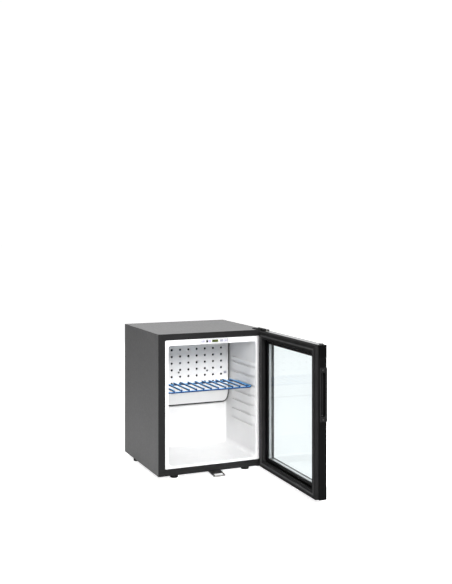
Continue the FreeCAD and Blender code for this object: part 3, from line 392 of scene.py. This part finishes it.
M["window"] = clear("window_clear", (0.96, 0.98, 0.92), 1.30, 0.02)
M["display"] = glowing("display_lit", (0.040, 0.050, 0.002), (0.052, 0.063, 0.003), 0.03)
M["digit"] = moulded("display_digit", (0.003, 0.004, 0.001), (0.005, 0.007, 0.002), 0.5, spec=0.05)
M["led"] = glowing("indicator_lilac", (0.20, 0.17, 0.36), (0.26, 0.22, 0.42), 0.12, 0.25)
M["lens"] = glowing("lens_frosted", (0.85, 0.87, 0.88), (0.92, 0.93, 0.93), 0.02, 0.5)
M["glass"] = clear("door_glass", (0.955, 0.99, 0.995), 1.13)
M["foam"] = moulded("foam_cream", (0.70, 0.60, 0.36), (0.78, 0.68, 0.42), 0.85, grain=250.0, bump=0.3)
M["board"] = moulded("board_green", (0.02, 0.11, 0.05), (0.03, 0.15, 0.07), 0.42)
M["zinc"] = spangled("zinc_sheet", (0.47, 0.48, 0.50), (0.58, 0.59, 0.60), 0.42)
M["casing"] = spangled("casing_zinc", (0.52, 0.53, 0.54), (0.63, 0.63, 0.64), 0.36)
M["unit"] = painted("unit_black", (0.012, 0.012, 0.012), (0.020, 0.020, 0.020), 0.5, grain=700.0, bump=0.22)
M["fin"] = metal("fin_aluminium", (0.72, 0.73, 0.74), (0.82, 0.82, 0.83), 0.30, brush=(1.0, 0.05, 1.0), scale=600.0)
M["evap"] = painted("evaporator_black", (0.010, 0.010, 0.010), (0.016, 0.016, 0.016), 0.6, grain=700.0, bump=0.2, spec=0.2)

FINISH = {
    "side_panel_left": ("cabinet", 0.8), "side_panel_right": ("cabinet", 0.8), "top_panel": ("cabinet", 0.5),
    "base_pan": ("zinc", 0.3), "rear_panel": ("zinc", 0.3), "front_frame": ("front", 0.9),
    "inner_liner": ("liner", 0.0), "shelf_ledges": ("liner", 2.2), "cover_seal": ("seal", 0.4),
    "control_box": ("dark", 0.3), "insulation_foam": ("foam", 0.0), "control_fascia": ("fascia", 0.25),
    "display_window": ("window", 0.0), "display_module": ("display", 0.2), "indicator_lights": ("led", 0.3),
    "sensor_eye": ("eye", 0.2), "button_power": ("pale_key", 0.35), "button_minus": ("key", 0.35), "button_plus": ("pale_key", 0.35),
    "control_board": ("board", 0.1), "light_lens": ("lens", 0.4), "evaporator_cover": ("cover", 0.3),
    "evaporator": ("evap", 0.0), "sensor_clip": ("key", 0.5), "cover_screws": ("cover_screw", 0.15), "wire_shelf": ("shelf", 0.0),
    "foot_front_left": ("foot", 1.0), "foot_front_right": ("foot", 1.0), "foot_rear_left": ("foot", 1.0),
    "foot_rear_right": ("foot", 1.0), "foot_screws": ("screw", 0.15), "lock_strike": ("strike", 0.35),
    "top_hinge_bracket": ("hinge", 0.5), "bottom_hinge_bracket": ("hinge", 0.5), "hinge_pins": ("pin", 0.4),
    "bracket_screws": ("dark_screw", 0.15), "boiler_casing": ("casing", 0.0), "absorber_vessel": ("unit", 0.0),
    "absorber_coil": ("unit", 0.0), "condenser_tube": ("unit", 0.0), "condenser_fins": ("fin", 0.0),
    "rear_crossbars": ("unit", 0.4), "terminal_box": ("dark", 0.8), "cord_gland": ("dark", 0.4),
    "door_top_rail": ("door_top", 0.5), "door_bottom_rail": ("door", 0.5), "door_hinge_stile": ("door", 0.5),
    "door_handle_stile": ("door", 0.5), "outer_glass": ("glass", 0.0), "inner_glass": ("glass", 0.0),
    "glazing_spacer": ("spacer", 0.0), "door_gasket": ("gasket", 0.5), "gasket_magnets": ("magnet", 0.0),
    "handle_insert": ("handle", 0.6), "handle_screws": ("dark_screw", 0.12), "hinge_bushes": ("bush", 0.2),
    "hole_plugs": ("dark", 0.4), "lock_barrel": ("screw", 0.35), "lock_plug": ("screw", 0.25), "lock_cam": ("screw", 0.3),
}
for name, (key, width) in FINISH.items():
    o = NODES[name]
    o.data.materials.clear()
    o.data.materials.append(M[key])
    if width > 0.0:
        w = o.modifiers.new("weld", "WELD")
        w.merge_threshold = 1e-6
        b = o.modifiers.new("edges", "BEVEL")
        b.width = width * MM
        b.segments = 4 if width > 2.0 else 2
        b.limit_method = "ANGLE"
        b.angle_limit = math.radians(40.0)
        b.use_clamp_overlap = True
        b.harden_normals = True


# ------------------------------------------------------------ added pieces
def piece(name, mesh_maker, material, body):
    bm = bmesh.new()
    mesh_maker(bm)
    bmesh.ops.recalc_face_normals(bm, faces=bm.faces)
    me = bpy.data.meshes.new(name)
    bm.to_mesh(me)
    bm.free()
    me.materials.append(M[material])
    o = bpy.data.objects.new(name, me)
    scene.collection.objects.link(o)
    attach(o, body)
    return o


def prism(bm, outline, y0, y1):
    """A closed outline in X and Z (drawing millimetres), from y0 to y1."""
    a = [bm.verts.new(at(x, y0, z)) for x, z in outline]
    b = [bm.verts.new(at(x, y1, z)) for x, z in outline]
    n = len(outline)
    bm.faces.new(a)
    bm.faces.new(b[::-1])
    for i in range(n):
        bm.faces.new((a[i], b[i], b[(i + 1) % n], a[(i + 1) % n]))


# seven-segment figures behind the display window
def segment(bm, x0, z0, x1, z1, w, y0, y1):
    """One bar of a figure, with pointed ends."""
    if abs(x1 - x0) > abs(z1 - z0):
        h = w / 2
        o = [(x0, z0), (x0 + h, z0 + h), (x1 - h, z1 + h), (x1, z1), (x1 - h, z1 - h), (x0 + h, z0 - h)]
    else:
        h = w / 2
        o = [(x0, z0), (x0 + h, z0 + h), (x1 + h, z1 - h), (x1, z1), (x1 - h, z1 - h), (x0 - h, z0 + h)]
    prism(bm, o, y0, y1)


FIGURES = {"5": "afgcd", "8": "abcdefg", "0": "abcdef", "4": "fgbc", "6": "afgecd"}


def figures(bm):
    y0, y1 = 4.17, 4.27
    for figure, cx in (("8", 0.2), ("6", 7.2), ("8", 14.2)):
        w, h, zc, t = 4.3, 7.8, 459.0, 2.6
        x0, x1, zt, zb = cx - w / 2, cx + w / 2, zc + h / 2 - t / 2, zc - h / 2 + t / 2
        g = 0.16
        bars = {"a": (x0 + g, zt, x1 - g, zt), "g": (x0 + g, zc, x1 - g, zc), "d": (x0 + g, zb, x1 - g, zb),
                "f": (x0, zc + g, x0, zt - g), "b": (x1, zc + g, x1, zt - g),
                "e": (x0, zb + g, x0, zc - g), "c": (x1, zb + g, x1, zc - g)}
        for s in FIGURES[figure]:
            segment(bm, *bars[s], t, y0, y1)


piece("display_figures", figures, "digit", "cabinet")

KEY_Y0, KEY_Y1 = 1.98, 2.12


def ring_sector(bm, cx, cz, r0, r1, a0, a1, steps):
    for i in range(steps):
        p = a0 + (a1 - a0) * i / steps
        q = a0 + (a1 - a0) * (i + 1) / steps
        prism(bm, [(cx + r0 * math.cos(p), cz + r0 * math.sin(p)), (cx + r1 * math.cos(p), cz + r1 * math.sin(p)),
                   (cx + r1 * math.cos(q), cz + r1 * math.sin(q)), (cx + r0 * math.cos(q), cz + r0 * math.sin(q))],
              KEY_Y0, KEY_Y1)


def power_mark(bm):
    cx, cz = -36.0, 459.0
    ring_sector(bm, cx, cz, 1.9, 2.5, math.radians(125), math.radians(415), 28)
    prism(bm, [(cx - 0.3, cz + 0.6), (cx + 0.3, cz + 0.6), (cx + 0.3, cz + 3.0), (cx - 0.3, cz + 3.0)], KEY_Y0, KEY_Y1)


def minus_mark(bm):
    prism(bm, [(29.5, 458.6), (33.5, 458.6), (33.5, 459.4), (29.5, 459.4)], KEY_Y0, KEY_Y1)


def plus_mark(bm):
    cx, cz, a, h = 47.0, 459.0, 2.0, 0.4
    prism(bm, [(cx - a, cz - h), (cx - h, cz - h), (cx - h, cz - a), (cx + h, cz - a), (cx + h, cz - h), (cx + a, cz - h),
               (cx + a, cz + h), (cx + h, cz + h), (cx + h, cz + a), (cx - h, cz + a), (cx - h, cz + h), (cx - a, cz + h)],
          KEY_Y0, KEY_Y1)


piece("power_mark", power_mark, "print", "power_key")
piece("minus_mark", minus_mark, "print", "minus_key")
piece("plus_mark", plus_mark, "print", "plus_key")

# ------------------------------------------------------------------- stage
bm = bmesh.new()
bmesh.ops.create_grid(bm, x_segments=1, y_segments=1, size=40.0)
me = bpy.data.meshes.new("floor")
bm.to_mesh(me)
bm.free()
floor = bpy.data.objects.new("floor", me)
scene.collection.objects.link(floor)
t = Tree("floor_white")
FLOOR_GLOW = 0.82                          # keeps the floor a plain white sheet with pale shadows
seen = t.node("ShaderNodeLightPath")
p = t.principled(Base_Color=rgb(0.74, 0.74, 0.74), Roughness=0.75, Specular_IOR_Level=0.2, Emission_Color=rgb(1.0, 1.0, 1.0))
t.put(p.inputs["Emission Strength"], t.math("MULTIPLY", seen.outputs["Is Camera Ray"], FLOOR_GLOW))
sheet = t.node("ShaderNodeEmission", Color=rgb(1.0, 1.0, 1.0), Strength=1.02)     # the same white behind the panes
both = t.t.nodes.new("ShaderNodeMixShader")
t.put(both.inputs[0], seen.outputs["Is Transmission Ray"])
t.t.links.new(p.outputs["BSDF"], both.inputs[1])
t.t.links.new(sheet.outputs["Emission"], both.inputs[2])
t.t.links.new(both.outputs["Shader"], t.out.inputs["Surface"])
me.materials.append(t.mat)

# a white sheet behind everything, with a dimmer room for the reflections
ROOM = 0.30
world = bpy.data.worlds.new("studio")
scene.world = world
world.use_nodes = True
wt = world.node_tree
wt.nodes.clear()
w_out = wt.nodes.new("ShaderNodeOutputWorld")
w_bg = wt.nodes.new("ShaderNodeBackground")
w_bg.inputs["Color"].default_value = rgb(1.0, 1.0, 1.0)
w_path = wt.nodes.new("ShaderNodeLightPath")
w_max = wt.nodes.new("ShaderNodeMath")
w_max.operation = "MAXIMUM"
w_level = wt.nodes.new("ShaderNodeMapRange")
w_level.inputs["To Min"].default_value = ROOM
w_level.inputs["To Max"].default_value = 1.02
wt.links.new(w_path.outputs["Is Camera Ray"], w_max.inputs[0])
wt.links.new(w_path.outputs["Is Transmission Ray"], w_max.inputs[1])
wt.links.new(w_max.outputs[0], w_level.inputs["Value"])
wt.links.new(w_level.outputs["Result"], w_bg.inputs["Strength"])
wt.links.new(w_bg.outputs["Background"], w_out.inputs["Surface"])


def lamp(name, place, aim, size, watts, spread=180.0):
    l = bpy.data.lights.new(name, "AREA")
    l.shape = "RECTANGLE"
    l.size, l.size_y = size
    l.energy = watts
    l.spread = math.radians(spread)
    o = bpy.data.objects.new(name, l)
    o.location = place
    o.rotation_euler = (Vector(aim) - Vector(place)).to_track_quat("-Z", "Y").to_euler()
    scene.collection.objects.link(o)
    return o


lamp("front_softbox", (-0.25, -2.6, 1.88), (0.0, 0.0, 0.25), (1.3, 1.3), 164.0)
lamp("top_softbox", (0.2, 0.9, 2.4), (0.0, 0.0, 0.4), (2.0, 2.0), 40.0)
lamp("back_softbox", (1.0, 3.2, 1.1), (0.0, 0.2, 0.5), (3.6, 1.8), 20.0)
lamp("left_softbox", (-0.75, -1.2, 0.85), (-0.2, -0.1, 0.25), (0.5, 0.5), 5.5)
lamp("low_spot", (-0.75, -1.6, 0.55), (0.14, 0.05, 0.03), (0.2, 0.2), 0.14, 12.0)

scene.view_settings.view_transform = "Standard"
scene.view_settings.look = "None"
scene.view_settings.exposure = 0.0
